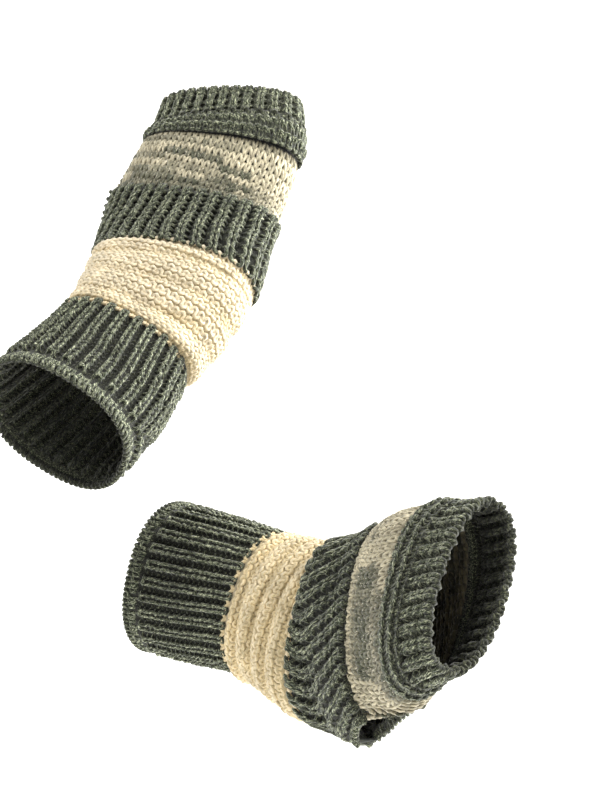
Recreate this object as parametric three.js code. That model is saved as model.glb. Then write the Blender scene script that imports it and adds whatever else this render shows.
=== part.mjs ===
// A pair of long fingerless wool gloves: two knitted tubes that run from the forearm to the knuckles.
// Each glove is five bands worked one after the other: a ribbed cuff, a cream band of soft rolls,
// a ribbed band, a plain striped band and a ribbed finger band with a thick roll at its wrist side.
// The thumb comes out through a slit that the ribbed band and the striped band share.
// Both gloves keep the form they have on two raised arms. The origin is inside the right wrist.
// Millimetres, +Z up, +Y away from the side that shows the backs of the hands.
import * as THREE from 'three';

const WALL = 2.6;
const SEAM_GAP = 0.3;
const RIB_HEIGHT = 1.1;
const ROLL_HEIGHT = 1.4;
const LIP_HEIGHT = 1.0;
const THICK_ROLL_HEIGHT = 2.2;
const THICK_ROLL_WIDTH = 10;
const FADE_LENGTH = 8;
const INNER_STEP = 12;

// The section is a rounded oblong between an ellipse and a box.
const SECTION_POWER = 2.3;
const SECTION_STEPS = 240;

// The thumb slit: where it starts and ends along the glove, how far it gapes, and its place round
// the hand, in degrees from the middle of the thumb side towards the palm.
const SLIT_FROM = 122;
const SLIT_TO = 158;
const SLIT_GAPE = 24;
const SLIT_TURN = 14;

const GREEN = { color: 0x4b5145, roughness: 0.95, metalness: 0 };
const CREAM = { color: 0xdccaa2, roughness: 0.92, metalness: 0 };
const MARL = { color: 0xa39d80, roughness: 0.93, metalness: 0 };

// The bands in knitting order. start and end are distances from the cuff edge. ribs is how many ribs
// go round, columns how many steps a rib or the plain girth takes, rolls how many soft rolls lie
// across the band, and rings the distances from its start at which the wall has a ring of points.
const BANDS = [
  { name: 'cuff', start: 0, end: 58, ribs: 28, columns: 84, rolls: 0, material: GREEN,
    rings: [0, 8, 21, 34, 47, 58] },
  { name: 'welt_band', start: 58, end: 104, ribs: 0, columns: 44, rolls: 4, material: CREAM,
    rings: evenSteps(46, 16) },
  { name: 'rib_band', start: 104, end: 144, ribs: 28, columns: 84, rolls: 0, material: GREEN,
    rings: [0, 10, 18, 21, 30, 36, 40] },
  { name: 'marl_band', start: 144, end: 178, ribs: 0, columns: 42, rolls: 0, material: MARL,
    rings: [0, 9, 14, 23, 34] },
  { name: 'finger_band', start: 178, end: 204, ribs: 28, columns: 84, rolls: 0, material: GREEN,
    rings: [0, 2, 5, 8, 11, 18, 24, 26] },
];

// Sections of each worn glove. along is the distance from the cuff edge; x, y and z place the centre;
// roll turns the section about the arm, in degrees; thumb, little, back and palm are how far the
// cloth stands from the centre on those four sides; lean tips the thumb side towards the fingers.
const RIGHT_SECTIONS = [
  { along: 0, x: -25, y: -38, z: -35, roll: -10, thumb: 36, little: 36, back: 30, palm: 32, lean: 0 },
  { along: 30, x: -12, y: -17, z: -18, roll: -12, thumb: 34, little: 37, back: 29, palm: 30, lean: 0 },
  { along: 58, x: 0, y: 0, z: 0, roll: -15, thumb: 32, little: 35, back: 26, palm: 27, lean: 0 },
  { along: 80, x: 11, y: 11, z: 16, roll: -20, thumb: 36, little: 40, back: 26, palm: 26, lean: 0 },
  { along: 104, x: 21, y: 24, z: 34, roll: -25, thumb: 41, little: 42, back: 25, palm: 26, lean: 0 },
  { along: 124, x: 26, y: 35, z: 50, roll: -25, thumb: 44, little: 42, back: 22, palm: 25, lean: 0 },
  { along: 144, x: 31, y: 44, z: 67, roll: -25, thumb: 44, little: 42, back: 19, palm: 22, lean: 0 },
  { along: 178, x: 43, y: 54, z: 97, roll: -22, thumb: 41, little: 40, back: 18, palm: 19, lean: 0 },
  { along: 204, x: 47, y: 64, z: 121, roll: -20, thumb: 36, little: 36, back: 16, palm: 17, lean: 0 },
];
const LEFT_SECTIONS = [
  { along: 0, x: 18, y: 34, z: -109, roll: 0, thumb: 36, little: 36, back: 32, palm: 32, lean: 0 },
  { along: 30, x: 43, y: 18, z: -114, roll: 2, thumb: 35, little: 35, back: 30, palm: 30, lean: 0 },
  { along: 58, x: 65, y: 2, z: -119, roll: 5, thumb: 33, little: 34, back: 27, palm: 28, lean: 0 },
  { along: 80, x: 81, y: -12, z: -123, roll: 10, thumb: 36, little: 36, back: 26, palm: 27, lean: 0 },
  { along: 104, x: 97, y: -30, z: -126, roll: 20, thumb: 41, little: 40, back: 25, palm: 26, lean: 0 },
  { along: 124, x: 107, y: -47, z: -122, roll: 34, thumb: 48, little: 40, back: 22, palm: 25, lean: 0 },
  { along: 144, x: 118, y: -63, z: -116, roll: 46, thumb: 43, little: 42, back: 20, palm: 22, lean: -2 },
  { along: 178, x: 131, y: -92, z: -105, roll: 50, thumb: 38, little: 40, back: 18, palm: 19, lean: -5 },
  { along: 204, x: 146, y: -112, z: -97, roll: 50, thumb: 34, little: 36, back: 16, palm: 18, lean: -7 },
];

function evenSteps(length, count) {
  return Array.from({ length: count + 1 }, (unused, step) => (length * step) / count);
}

// One column of a section table at any distance along the glove, as a smooth curve through the rows.
function smoothValue(sections, column, along) {
  const last = sections.length - 1;
  let row = 0;
  while (row < last - 1 && along > sections[row + 1].along) row += 1;
  const slopeAt = (index) => {
    const before = sections[Math.max(index - 1, 0)];
    const after = sections[Math.min(index + 1, last)];
    return (after[column] - before[column]) / (after.along - before.along);
  };
  const from = sections[row];
  const to = sections[row + 1];
  const length = to.along - from.along;
  const t = (along - from.along) / length;
  const hermite = (2 * t ** 3 - 3 * t ** 2 + 1) * from[column]
    + (t ** 3 - 2 * t ** 2 + t) * length * slopeAt(row);
  return hermite + (3 * t ** 2 - 2 * t ** 3) * to[column]
    + (t ** 3 - t ** 2) * length * slopeAt(row + 1);
}

function centreAt(sections, along) {
  return new THREE.Vector3(
    smoothValue(sections, 'x', along),
    smoothValue(sections, 'y', along),
    smoothValue(sections, 'z', along),
  );
}

// The section's own axes: onward along the glove, thumbward across the hand, backward out of its back.
function axesAt(sections, side, along) {
  const before = centreAt(sections, Math.max(along - 1, 0));
  const after = centreAt(sections, Math.min(along + 1, sections[sections.length - 1].along));
  const onward = after.sub(before).normalize();
  const across = new THREE.Vector3().crossVectors(onward, new THREE.Vector3(0, 1, 0));
  across.multiplyScalar(side).normalize();
  const outOfBack = new THREE.Vector3().crossVectors(onward, across).multiplyScalar(side);
  const roll = THREE.MathUtils.degToRad(smoothValue(sections, 'roll', along));
  const thumbward = across.clone().multiplyScalar(Math.cos(roll));
  thumbward.addScaledVector(outOfBack, Math.sin(roll));
  const backward = outOfBack.clone().multiplyScalar(Math.cos(roll));
  backward.addScaledVector(across, -Math.sin(roll));
  return { onward, thumbward, backward };
}

// The section's outline as flat points, from the middle of the slit over the back of the hand to the
// palm, with the length walked to each point.
function outlineAt(sections, along) {
  const reach = {};
  for (const column of ['thumb', 'little', 'back', 'palm']) {
    reach[column] = smoothValue(sections, column, along);
  }
  const points = [];
  const walked = [0];
  for (let step = 0; step <= SECTION_STEPS; step += 1) {
    const angle = THREE.MathUtils.degToRad((360 * step) / SECTION_STEPS - SLIT_TURN);
    const across = Math.sign(Math.cos(angle)) * Math.abs(Math.cos(angle)) ** (2 / SECTION_POWER);
    const outward = Math.sign(Math.sin(angle)) * Math.abs(Math.sin(angle)) ** (2 / SECTION_POWER);
    points.push(new THREE.Vector2(
      across * (across > 0 ? reach.thumb : reach.little),
      outward * (outward > 0 ? reach.back : reach.palm),
    ));
    if (step > 0) walked.push(walked[step - 1] + points[step].distanceTo(points[step - 1]));
  }
  return { points, walked, girth: walked[SECTION_STEPS] };
}

// The point at a share of the girth, with the direction that points out of the cloth there.
function pointOnOutline(outline, share) {
  const target = share * outline.girth;
  let step = 1;
  while (step < SECTION_STEPS && outline.walked[step] < target) step += 1;
  const from = outline.points[step - 1];
  const to = outline.points[step];
  const t = (target - outline.walked[step - 1]) / (outline.walked[step] - outline.walked[step - 1]);
  const tangent = to.clone().sub(from).normalize();
  return { flat: from.clone().lerp(to, t), out: new THREE.Vector2(tangent.y, -tangent.x) };
}

// Half of the slit's gape at a distance along the glove, as the half-width of an ellipse.
function halfGapeAt(along) {
  const middle = (SLIT_FROM + SLIT_TO) / 2;
  const t = (along - middle) / ((SLIT_TO - SLIT_FROM) / 2);
  return Math.abs(t) >= 1 ? 0 : (SLIT_GAPE / 2) * Math.sqrt(1 - t * t);
}

// How far the outer face stands out of the plain wall: ribs, soft rolls, and the thick edges.
function reliefAt(band, distance, column) {
  const length = band.end - band.start;
  const toEnd = length - distance;
  let relief = 0;
  if (band.rolls > 0) {
    relief += ROLL_HEIGHT * (0.5 - 0.5 * Math.cos((2 * Math.PI * band.rolls * distance) / length));
  }
  const onRib = band.ribs > 0 && column % (band.columns / band.ribs) !== 0;
  if (band.name === 'finger_band' && distance < THICK_ROLL_WIDTH) {
    return THICK_ROLL_HEIGHT * Math.sqrt(Math.sin((Math.PI * (distance + 1)) / (THICK_ROLL_WIDTH + 2)));
  }
  if (onRib) {
    const fade = band.name === 'cuff' ? Math.min(1, 0.3 + (0.7 * distance) / FADE_LENGTH) : 1;
    relief += RIB_HEIGHT * fade;
  }
  if (band.name === 'rib_band' && toEnd < 5) relief += LIP_HEIGHT;
  if (band.name === 'finger_band' && toEnd < 3) relief += LIP_HEIGHT / 2;
  return relief;
}

// One ring of the wall: its outer points and its inner points.
function ringAt(band, sections, side, distance) {
  const along = band.start + distance;
  const axes = axesAt(sections, side, along);
  const centre = centreAt(sections, along);
  const outline = outlineAt(sections, along);
  const lean = smoothValue(sections, 'lean', along) / smoothValue(sections, 'thumb', along);
  const halfGape = halfGapeAt(along) / outline.girth;
  let shift = 0;
  if (distance === 0 && band.start > 0) shift = SEAM_GAP / 2;
  if (along === band.end && band.name !== 'finger_band') shift = -SEAM_GAP / 2;
  const place = (column, out) => {
    const share = halfGape + (1 - 2 * halfGape) * (column / band.columns);
    const spot = pointOnOutline(outline, share);
    const flat = spot.flat.addScaledVector(spot.out, out);
    const point = centre.clone().addScaledVector(axes.thumbward, flat.x);
    point.addScaledVector(axes.backward, flat.y);
    return point.addScaledVector(axes.onward, shift + lean * flat.x);
  };
  const outer = [];
  const inner = [];
  for (let column = 0; column <= band.columns; column += 1) {
    outer.push(place(column, reliefAt(band, distance, column)));
    inner.push(place(column, -WALL));
  }
  return { outer, inner, open: halfGape > 0 };
}

// The rings that the plain inner face uses: all of them beside the slit, and elsewhere a wider spacing.
function innerRingsOf(band, rings) {
  const last = rings.length - 1;
  if (rings.some((ring) => ring.open)) return rings.map((unused, index) => index);
  const used = [0];
  for (let index = 1; index < last; index += 1) {
    if (band.rings[index] - band.rings[used[used.length - 1]] >= INNER_STEP) used.push(index);
  }
  if (band.rings[last] - band.rings[used[used.length - 1]] < INNER_STEP / 2) used.pop();
  used.push(last);
  return used;
}

// A band as one closed wall: outer face, inner face, the two edges, and the slit's sides.
function bandGeometry(band, sections, side) {
  const rings = band.rings.map((distance) => ringAt(band, sections, side, distance));
  const innerRings = innerRingsOf(band, rings);
  const positions = [];
  const triangles = [];
  const layers = rings.map((ring, index) => {
    const layer = {};
    for (const face of innerRings.includes(index) ? ['outer', 'inner'] : ['outer']) {
      layer[face] = ring[face].map((point, column) => {
        if (column === band.columns && !ring.open) return null;
        positions.push(point.x, point.y, point.z);
        return positions.length / 3 - 1;
      });
      if (!ring.open) layer[face][band.columns] = layer[face][0];
    }
    return layer;
  });
  const addQuad = (a, b, c, d) => {
    if (side > 0) triangles.push(a, b, c, a, c, d);
    else triangles.push(a, c, b, a, d, c);
  };
  const last = layers.length - 1;
  for (let ring = 0; ring < last; ring += 1) {
    const low = layers[ring];
    const high = layers[ring + 1];
    for (let column = 0; column < band.columns; column += 1) {
      const next = column + 1;
      addQuad(low.outer[column], low.outer[next], high.outer[next], high.outer[column]);
    }
    if (rings[ring].open || rings[ring + 1].open) {
      const end = band.columns;
      addQuad(low.outer[0], high.outer[0], high.inner[0], low.inner[0]);
      addQuad(low.outer[end], low.inner[end], high.inner[end], high.outer[end]);
    }
  }
  for (let index = 1; index < innerRings.length; index += 1) {
    const low = layers[innerRings[index - 1]].inner;
    const high = layers[innerRings[index]].inner;
    for (let column = 0; column < band.columns; column += 1) {
      addQuad(low[column], high[column], high[column + 1], low[column + 1]);
    }
  }
  for (let column = 0; column < band.columns; column += 1) {
    const next = column + 1;
    addQuad(layers[0].outer[column], layers[0].inner[column], layers[0].inner[next], layers[0].outer[next]);
    addQuad(layers[last].outer[column], layers[last].outer[next],
      layers[last].inner[next], layers[last].inner[column]);
  }
  const geometry = new THREE.BufferGeometry();
  geometry.setAttribute('position', new THREE.Float32BufferAttribute(positions, 3));
  geometry.setIndex(triangles);
  geometry.computeVertexNormals();
  return geometry;
}

function glove(prefix, sections, side) {
  const group = new THREE.Group();
  for (const band of BANDS) {
    const material = new THREE.MeshStandardMaterial(band.material);
    const mesh = new THREE.Mesh(bandGeometry(band, sections, side), material);
    mesh.name = `${prefix}_${band.name}`;
    group.add(mesh);
  }
  return group;
}

const pair = new THREE.Group();
pair.add(glove('right', RIGHT_SECTIONS, 1));
pair.add(glove('left', LEFT_SECTIONS, -1));

export default pair;
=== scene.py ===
import math

import bpy
import numpy as np
from bpy.props import FloatProperty, FloatVectorProperty, IntProperty, PointerProperty
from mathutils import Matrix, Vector


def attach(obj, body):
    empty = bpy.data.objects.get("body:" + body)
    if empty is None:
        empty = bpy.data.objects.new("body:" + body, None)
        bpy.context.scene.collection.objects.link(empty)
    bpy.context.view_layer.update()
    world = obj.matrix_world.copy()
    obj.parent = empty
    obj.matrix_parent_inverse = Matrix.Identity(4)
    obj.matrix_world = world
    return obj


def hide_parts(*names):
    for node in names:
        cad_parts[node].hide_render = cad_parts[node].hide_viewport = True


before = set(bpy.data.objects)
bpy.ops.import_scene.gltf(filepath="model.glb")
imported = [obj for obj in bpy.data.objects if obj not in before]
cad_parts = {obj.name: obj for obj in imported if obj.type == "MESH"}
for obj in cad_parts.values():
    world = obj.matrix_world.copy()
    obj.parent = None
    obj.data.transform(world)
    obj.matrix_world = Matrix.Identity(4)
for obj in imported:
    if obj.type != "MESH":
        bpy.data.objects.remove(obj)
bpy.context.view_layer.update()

bl_info = {
    "name": "Striped wool hand warmers",
    "version": (1, 0, 0),
    "blender": (4, 5, 0),
    "location": "View3D > Sidebar > Gloves",
    "description": "Knits a pair of long fingerless wool gloves, stitch by stitch, on their cloth walls",
    "category": "Add Mesh",
}

MM = 0.001

# Sections of each worn glove, in millimetres and degrees, as in the solids.
SECTION_COLUMNS = ("along", "x", "y", "z", "roll", "thumb", "little", "back", "palm", "lean")
RIGHT_SECTIONS = (
    (0, -25, -38, -35, -10, 36, 36, 30, 32, 0),
    (30, -12, -17, -18, -12, 34, 37, 29, 30, 0),
    (58, 0, 0, 0, -15, 32, 35, 26, 27, 0),
    (80, 11, 11, 16, -20, 36, 40, 26, 26, 0),
    (104, 21, 24, 34, -25, 41, 42, 25, 26, 0),
    (124, 26, 35, 50, -25, 44, 42, 22, 25, 0),
    (144, 31, 44, 67, -25, 44, 42, 19, 22, 0),
    (178, 43, 54, 97, -22, 41, 40, 18, 19, 0),
    (204, 47, 64, 121, -20, 36, 36, 16, 17, 0),
)
LEFT_SECTIONS = (
    (0, 18, 34, -109, 0, 36, 36, 32, 32, 0),
    (30, 43, 18, -114, 2, 35, 35, 30, 30, 0),
    (58, 65, 2, -119, 5, 33, 34, 27, 28, 0),
    (80, 81, -12, -123, 10, 36, 36, 26, 27, 0),
    (104, 97, -30, -126, 20, 41, 40, 25, 26, 0),
    (124, 107, -47, -122, 34, 48, 40, 22, 25, 0),
    (144, 118, -63, -116, 46, 43, 42, 20, 22, -2),
    (178, 131, -92, -105, 50, 38, 40, 18, 19, -5),
    (204, 146, -112, -97, 50, 34, 36, 16, 18, -7),
)
SECTION_POWER = 2.3
SECTION_STEPS = 240

# The thumb slit: where it starts and ends along the glove, how wide it gapes, and by how many degrees
# it is turned round. The stitches are pushed apart by all of the gape within SLIT_PULL of it, by less
# as far along the glove as SLIT_REACH, and by less the further round they lie, after SLIT_FADE. The
# push ends over the last SLIT_REST before the far side. SLIT_FLOOR keeps a division off nought.
SLIT_FROM = 122.0
SLIT_TO = 158.0
SLIT_GAPE = 24.0
SLIT_TURN = 14.0
SLIT_PULL = 9.0
SLIT_REACH = 38.0
SLIT_FADE = 30.0
SLIT_REST = 20.0
SLIT_FLOOR = 0.05

# How far the stitch columns wander, in millimetres, which fades over a twelfth of the girth beside the
# slit's line; and how far from that line, in millimetres, a twisting hand turns them fully.
WANDER = 0.9
WANDER_FADE = 1 / 12
DRIFT_FADE = 18.0

# How far a twisting hand turns the stitch columns round it, in millimetres, by distance.
DRIFT = ((76, 92, 104, 114, 124, 134, 144, 156, 168, 180), (0, 1, 2, 4, 5.5, 6, 6, 4.5, 2, 0))

# The bands of a glove. start and end are distances from the cuff edge; rows is the number of
# courses; steps the points a stitch takes; radius the yarn's; depth and lie how far a stitch's legs
# and loops stand before and behind the cloth; bulge how far a loop's head spreads, in stitches;
# spread how much a rib's raised column crowds the sunk one; swell how much thicker its yarn is;
# overlap the height of a loop, in rows; first and last the factors on it in the end courses; and
# loose how uneven the stitches are.
BAND_COLUMNS = ("start", "end", "rows", "steps", "radius", "depth", "lie", "bulge", "spread", "swell",
                "overlap", "first", "last", "loose", "material")
BAND_TABLE = {
    "cuff": (0, 58, 20, 10, 0.86, 0.50, 0.35, 0.12, 0.07, 0.12, 1.50, 0.7, 0.7, 1.0, "green_wool"),
    "welt_band": (58, 104, 12, 12, 1.00, 0.60, 0.00, 0.22, 0.00, 0.00, 1.70, 1.0, 0.8, 0.5, "cream_wool"),
    "rib_band": (104, 144, 11, 12, 1.10, 0.45, 0.45, 0.17, 0.03, 0.32, 1.45, 0.7, 0.7, 1.0, "green_wool"),
    "marl_band": (144, 178, 9, 12, 1.05, 0.60, 0.40, 0.29, 0.00, 0.00, 1.50, 1.0, 1.0, 1.0, "marl_wool"),
    "finger_band": (178, 204, 7, 12, 1.10, 0.45, 0.45, 0.17, 0.03, 0.26, 1.45, 0.7, 0.7, 1.0, "green_wool"),
}
BANDS = {name: dict(zip(BAND_COLUMNS, line)) for name, line in BAND_TABLE.items()}

# Creases and soft bulges pressed into the worn cloth: where each is, how far it reaches each way in
# millimetres and in share of the girth, how it slants, and its height.
CREASE_COLUMNS = ("along", "share", "width", "reach", "slant", "height")
RIGHT_CREASES = (
    (63, 0.47, 5.0, 0.10, 8, 1.8),
    (57, 0.50, 2.5, 0.10, 8, -1.6),
    (72, 0.40, 2.2, 0.07, 60, -1.0),
    (84, 0.52, 2.4, 0.08, 45, -1.1),
    (94, 0.12, 2.6, 0.07, -30, -0.9),
    (58, 0.76, 3.0, 0.13, 0, -2.2),
    (66, 0.74, 4.0, 0.10, -10, 1.6),
    (47, 0.80, 3.5, 0.09, 25, -1.5),
    (112, 0.82, 3.0, 0.10, 30, -1.6),
    (122, 0.66, 3.5, 0.08, -40, -1.3),
    (160, 0.80, 3.0, 0.12, 15, -1.2),
    (18, 0.55, 4.0, 0.06, 90, -1.3),
    (24, 0.30, 5.0, 0.05, 70, -0.8),
)
LEFT_CREASES = (
    (77, 0.27, 2.4, 0.12, 22, -1.3),
    (88, 0.18, 2.2, 0.09, -20, -1.2),
    (97, 0.34, 2.4, 0.08, 25, -1.0),
    (62, 0.08, 4.0, 0.08, 0, 1.2),
    (59, 0.74, 3.0, 0.13, 0, -2.0),
    (68, 0.70, 4.0, 0.10, 12, 1.5),
    (106, 0.80, 3.0, 0.10, -20, -1.5),
    (118, 0.64, 3.5, 0.08, 35, -1.2),
    (130, 0.30, 4.0, 0.06, 60, -0.9),
    (164, 0.72, 3.0, 0.11, -15, -1.2),
    (30, 0.62, 4.5, 0.06, 60, -1.2),
)

# Where each course of the striped yarn shows cream, 1, or grey green, 0, as (share_from, share_to,
# tone) with shares of the girth.
RIGHT_STREAKS = {
    8: ((0.02, 0.60, 0.72),),
    7: ((0.00, 0.20, 0.35), (0.20, 0.38, 0.50), (0.38, 0.62, 0.95)),
    6: ((0.03, 0.20, 0.90), (0.20, 0.62, 0.95)),
    5: ((0.00, 0.17, 1.00), (0.18, 0.33, 0.12), (0.34, 0.62, 0.90)),
    4: ((0.00, 0.16, 0.35), (0.18, 0.33, 0.85), (0.33, 0.41, 0.00), (0.42, 0.62, 0.95)),
    3: ((0.06, 0.20, 1.00), (0.20, 0.36, 0.45), (0.37, 0.60, 0.85)),
    2: ((0.00, 0.22, 0.30), (0.23, 0.31, 0.85), (0.32, 0.42, 0.10), (0.43, 0.60, 0.55)),
    1: ((0.00, 0.08, 0.80), (0.09, 0.40, 0.10), (0.42, 0.50, 0.50), (0.50, 0.62, 0.90)),
    0: ((0.00, 0.60, 0.20),),
}
LEFT_MIDDLE = ((0.00, 0.09, 0.85), (0.10, 0.33, 0.10), (0.34, 0.60, 1.00))
LEFT_END = ((0.02, 0.26, 0.12), (0.28, 0.60, 0.95))
LEFT_STREAKS = {
    8: LEFT_END,
    7: LEFT_END,
    6: ((0.05, 0.32, 0.35), (0.33, 0.60, 1.00)),
    5: LEFT_MIDDLE,
    4: LEFT_MIDDLE,
    3: (*LEFT_MIDDLE, (0.38, 0.48, 0.30)),
    2: LEFT_MIDDLE,
    1: ((0.00, 0.10, 0.85), (0.10, 0.32, 0.35), (0.32, 0.60, 0.90)),
    0: ((0.00, 0.60, 0.95),),
}

# What differs between the gloves: side is 1 for the right hand; ribs and rolls are factors on their
# heights; roll_count the cream band's rolls; drift the factor on DRIFT.
SHALLOW_ROLLS = 0.38
GLOVE_COLUMNS = ("sections", "side", "streaks", "creases", "ribs", "rolls", "roll_count", "drift", "seed")
GLOVE_TABLE = {
    "right": (RIGHT_SECTIONS, 1.0, RIGHT_STREAKS, RIGHT_CREASES, 1.0, SHALLOW_ROLLS, 3.4, 0.0, 11),
    "left": (LEFT_SECTIONS, -1.0, LEFT_STREAKS, LEFT_CREASES, 0.75, 0.85, 4.0, 1.0, 23),
}
GLOVES = {name: dict(zip(GLOVE_COLUMNS, line)) for name, line in GLOVE_TABLE.items()}

# In millimetres: the middles of the cloth wall and of the yarn from the plain outer face, half the
# wall's thickness, how far it stops short of a band's ends, and the step of its points; and the share
# of the relief that it follows.
WALL_MIDDLE = -1.3
YARN_MIDDLE = -1.4
HALF_WALL = 0.35
SEAM_GAP = 0.15
WALL_STEP = 2.6
WALL_RELIEF = 0.85


# ---------------------------------------------------------------- the glove's surface

def smooth_columns(table, along):
    """Every column of a section table at each distance, as a smooth curve through its rows."""
    at, values = np.split(np.array(table, float), [1], axis=1)
    at = at[:, 0]
    before = np.maximum(np.arange(len(at)) - 1, 0)
    after = np.minimum(np.arange(len(at)) + 1, len(at) - 1)
    slopes = (values[after] - values[before]) / (at[after] - at[before])[:, None]
    row = np.clip(np.searchsorted(at, along, side="left") - 1, 0, len(at) - 2)
    length = (at[row + 1] - at[row])[:, None]
    t = ((along - at[row]) / length[:, 0])[:, None]
    return ((2 * t**3 - 3 * t**2 + 1) * values[row] + (t**3 - 2 * t**2 + t) * length * slopes[row]
            + (3 * t**2 - 2 * t**3) * values[row + 1] + (t**3 - t**2) * length * slopes[row + 1])


def half_gape(along):
    """Half of the thumb slit's gape, in millimetres, as the half-width of an ellipse."""
    middle = (SLIT_FROM + SLIT_TO) / 2
    t = (along - middle) / ((SLIT_TO - SLIT_FROM) / 2)
    return SLIT_GAPE / 2 * np.sqrt(np.clip(1 - t * t, 0, None))


def ease(value, low, high):
    """0 below low, 1 above high, and smooth between."""
    t = np.clip((value - low) / (high - low), 0, 1)
    return t * t * (3 - 2 * t)


def uneven(share, along, seed, waves=4):
    """A slow, seeded unevenness between -1 and 1 that closes round the girth."""
    rng = np.random.default_rng(seed)
    total = np.zeros_like(share)
    for wave in range(1, waves + 1):
        phase, drift = rng.uniform(0, 2 * np.pi), rng.uniform(-0.05, 0.05)
        total += np.sin(2 * np.pi * wave * share + phase + drift * along) / wave
    return total / 1.8


def off_seam(share):
    """How far a share of the girth is from 0, where the thumb slit is."""
    return np.minimum(np.mod(share, 1.0), np.mod(-share, 1.0))


def unit(vectors):
    return vectors / np.linalg.norm(vectors, axis=-1, keepdims=True)


class GloveSurface:
    """The plain outer face of one glove, by distance from the cuff edge and share of the girth."""

    MARGIN = 6
    SHARE_STEPS = 360

    def __init__(self, glove):
        table, side = glove["sections"], glove["side"]
        self.drift, self.seed = glove["drift"], glove["seed"]
        last = table[-1][0]
        self.along = np.arange(-self.MARGIN, last + self.MARGIN + 0.5, 1.0)
        inside = np.clip(self.along, 0, last)
        columns = smooth_columns(table, inside)
        section = dict(zip(SECTION_COLUMNS[1:], columns.T))
        ahead, behind = (smooth_columns(table, np.clip(inside + step, 0, last))[:, :3] for step in (1, -1))
        onward = unit(ahead - behind)
        across = side * unit(np.cross(onward, (0.0, 1.0, 0.0)))
        out_of_back = side * np.cross(onward, across)
        roll = np.radians(section["roll"])[:, None]
        thumbward = np.cos(roll) * across + np.sin(roll) * out_of_back
        backward = np.cos(roll) * out_of_back - np.sin(roll) * across
        centre = columns[:, :3] + onward * (self.along - inside)[:, None]
        self.shares = np.linspace(0, 1, self.SHARE_STEPS + 1)
        angle = np.radians(360 * np.arange(SECTION_STEPS + 1) / SECTION_STEPS - SLIT_TURN)
        unit_x, unit_y = (np.sign(wave) * np.abs(wave) ** (2 / SECTION_POWER)
                          for wave in (np.cos(angle), np.sin(angle)))
        self.points = np.empty((len(self.along), len(self.shares), 3))
        self.normals = np.empty_like(self.points)
        self.girth = np.empty(len(self.along))
        widths = zip(*(section[name] for name in ("thumb", "little", "back", "palm", "lean")))
        for i, (thumb, little, back, palm, lean) in enumerate(widths):
            flat = (unit_x * np.where(unit_x > 0, thumb, little), unit_y * np.where(unit_y > 0, back, palm))
            walked = np.concatenate([[0], np.cumsum(np.hypot(*np.diff(flat)))])
            self.girth[i] = walked[-1]
            x, y = (np.interp(self.shares * walked[-1], walked, line) for line in flat)
            ring = np.stack([x, y], 1)
            ring = np.concatenate([ring[-3:-1], ring, ring[1:3]])
            tangent = unit(ring[4:] - ring[:-4])
            self.points[i] = (centre[i] + x[:, None] * thumbward[i] + y[:, None] * backward[i]
                              + (lean / thumb * x)[:, None] * onward[i])
            self.normals[i] = tangent[:, 1:] * thumbward[i] - tangent[:, :1] * backward[i]

    def girth_at(self, along):
        return np.interp(along, self.along, self.girth)

    def place(self, along, share, height):
        """Points in metres, at a height over the plain outer face in millimetres."""
        girth = self.girth_at(along)
        wander = WANDER * uneven(share, along, self.seed + 3, 5)
        wander = wander * np.clip(np.minimum(share, 1 - share) / WANDER_FADE, 0, 1)
        away = 1 - np.exp(-(off_seam(share) * girth / DRIFT_FADE) ** 2)
        drift = self.drift * np.interp(along, *DRIFT) * away
        share = share + (wander + drift) / girth
        beside = np.where((share <= 0) | (share >= 1), 0.0, off_seam(share) * girth)
        near = np.exp(-(beside / SLIT_PULL) ** 2)
        pulled = SLIT_GAPE / 2 * ease(1 - np.abs(along - (SLIT_FROM + SLIT_TO) / 2) / SLIT_REACH, 0, 1)
        fading = np.exp(-beside / SLIT_FADE) / np.clip(1 - 2 * beside / girth, SLIT_FLOOR, 1)
        fading = fading * np.clip((0.5 * girth - beside) / SLIT_REST, 0, 1)
        gape = (near * half_gape(along) + (1 - near) * pulled) * fading / girth
        share = np.where(half_gape(along) > 0, np.clip(share, 0, 1), np.mod(share, 1.0))
        share = share + gape * (1 - 2 * share)
        row = np.clip((along - self.along[0]), 0, len(self.along) - 1.001)
        column = share * self.SHARE_STEPS
        r0 = row.astype(int)
        c0 = np.clip(column.astype(int), 0, self.SHARE_STEPS - 1)
        fr = (row - r0)[:, None]
        fc = (column - c0)[:, None]

        def blend(grid):
            low = grid[r0, c0] * (1 - fc) + grid[r0, c0 + 1] * fc
            high = grid[r0 + 1, c0] * (1 - fc) + grid[r0 + 1, c0 + 1] * fc
            return low * (1 - fr) + high * fr

        return (blend(self.points) + unit(blend(self.normals)) * height[:, None]) * MM


SURFACES = {name: GloveSurface(glove) for name, glove in GLOVES.items()}


def creased(creases, along, share):
    """The height of the listed creases and bulges."""
    height = np.zeros_like(along)
    for line in creases:
        crease = dict(zip(CREASE_COLUMNS, line))
        beside = np.mod(share - crease["share"] + 0.5, 1.0) - 0.5
        off = (along - crease["along"] - crease["slant"] * beside) / crease["width"]
        height += crease["height"] * np.exp(-off**2 - (beside / crease["reach"]) ** 2)
    return height


def rib_wave(knit, share):
    """1 on the middle of a raised column, 0 in the middle of a groove."""
    return 0.5 + 0.5 * np.cos(2 * np.pi * (share * knit.stitches_round / 2 - 0.25))


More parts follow.
